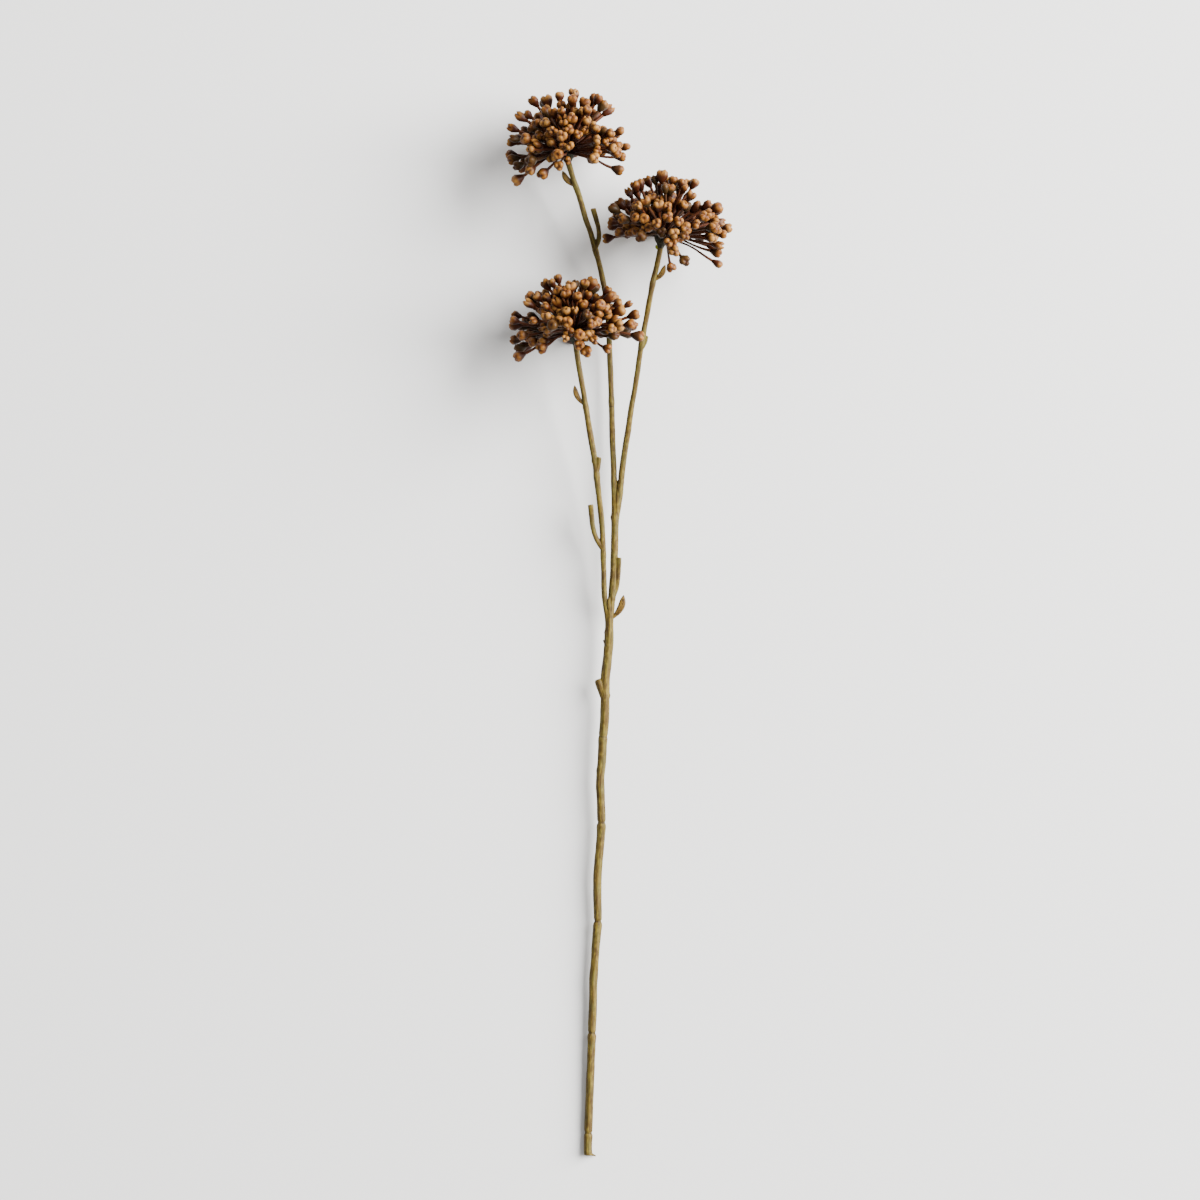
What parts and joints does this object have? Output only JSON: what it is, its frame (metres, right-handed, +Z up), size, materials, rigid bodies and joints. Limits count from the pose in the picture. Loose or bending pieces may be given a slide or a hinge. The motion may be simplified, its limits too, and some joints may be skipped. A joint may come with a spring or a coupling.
{
  "type": "dried allium",
  "caption": "Cut and dried allium spray: a slender knobbly stem that forks into three branches, each ending in a dome of dry buds on fine stalks. It lies flat on a surface.",
  "frame": {"origin": "on the surface that the spray lies on, below the middle of its box", "axes": "+Y from the cut end towards the heads, +Z up from the surface, +X to the right as seen from above with the heads away from the viewer"},
  "size_m": [0.14, 0.6628, 0.0742],
  "materials": {
    "stem": "dry olive-tan bark, matt, with fine lengthwise streaks",
    "bud": "dry golden to dark brown seed capsules, with a soft papery sheen"
  },
  "bodies": {
    "root": {"main_stem": "stem", "left_branch": "stem", "centre_branch": "stem", "right_branch": "stem", "left_head": "bud", "centre_head": "bud", "right_head": "bud"}
  },
  "joints": []
}
